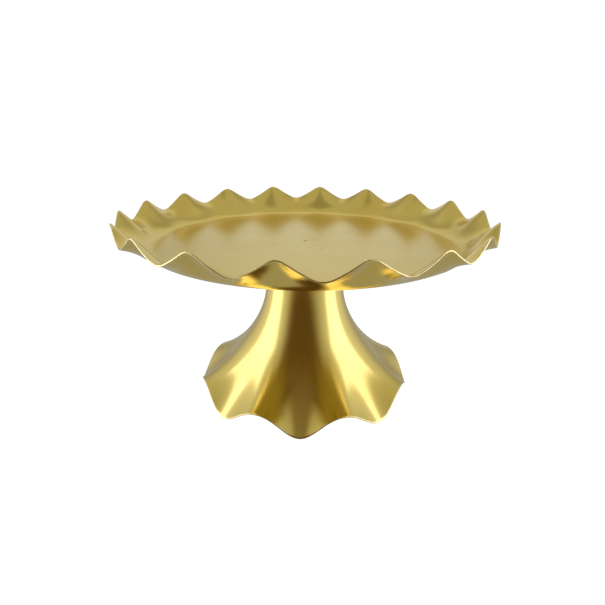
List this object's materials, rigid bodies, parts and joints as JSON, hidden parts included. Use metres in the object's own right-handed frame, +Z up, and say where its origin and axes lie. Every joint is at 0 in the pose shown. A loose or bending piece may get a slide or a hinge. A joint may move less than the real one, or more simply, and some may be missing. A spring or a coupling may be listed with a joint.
{
  "type": "cake stand",
  "caption": "Round pedestal cake stand in satin gold sheet metal: a plate with a rippled upturned rim, bolted on a trumpet foot with a lobed skirt.",
  "frame": {"origin": "on the table, under the centre of the foot", "axes": "+Z up along the stand's axis; -Y is the front, over the tip of one foot lobe"},
  "size_m": [0.3012, 0.3012, 0.1562],
  "materials": {
    "gold_sheet": "satin gold plating on pressed steel sheet",
    "zinc_steel": "zinc plated",
    "soft_ring": "matt"
  },
  "bodies": {
    "stand": {"cake_plate": "gold_sheet", "stud_plate": "zinc_steel", "threaded_stud": "zinc_steel", "cushion_ring": "soft_ring", "pedestal": "gold_sheet"},
    "washers": {"flat_washer": "zinc_steel", "spring_washer": "zinc_steel"},
    "wing_nut": {"wing_nut": "zinc_steel"}
  },
  "joints": [
    {"name": "washers_drop", "type": "slide", "parent": "stand", "child": "washers", "axis": [0, 0, -1], "range_m": [0, 0.0125]},
    {"name": "nut_turn", "type": "hinge", "parent": "washers", "child": "wing_nut", "pos_m": [0, 0, 0.1213], "axis": [0, 0, -1], "range_deg": [0, 3600]}
  ],
  "couplings": [
    {"joint": "nut_turn", "follows": "washers_drop", "rad_per_m": 5026.5}
  ]
}
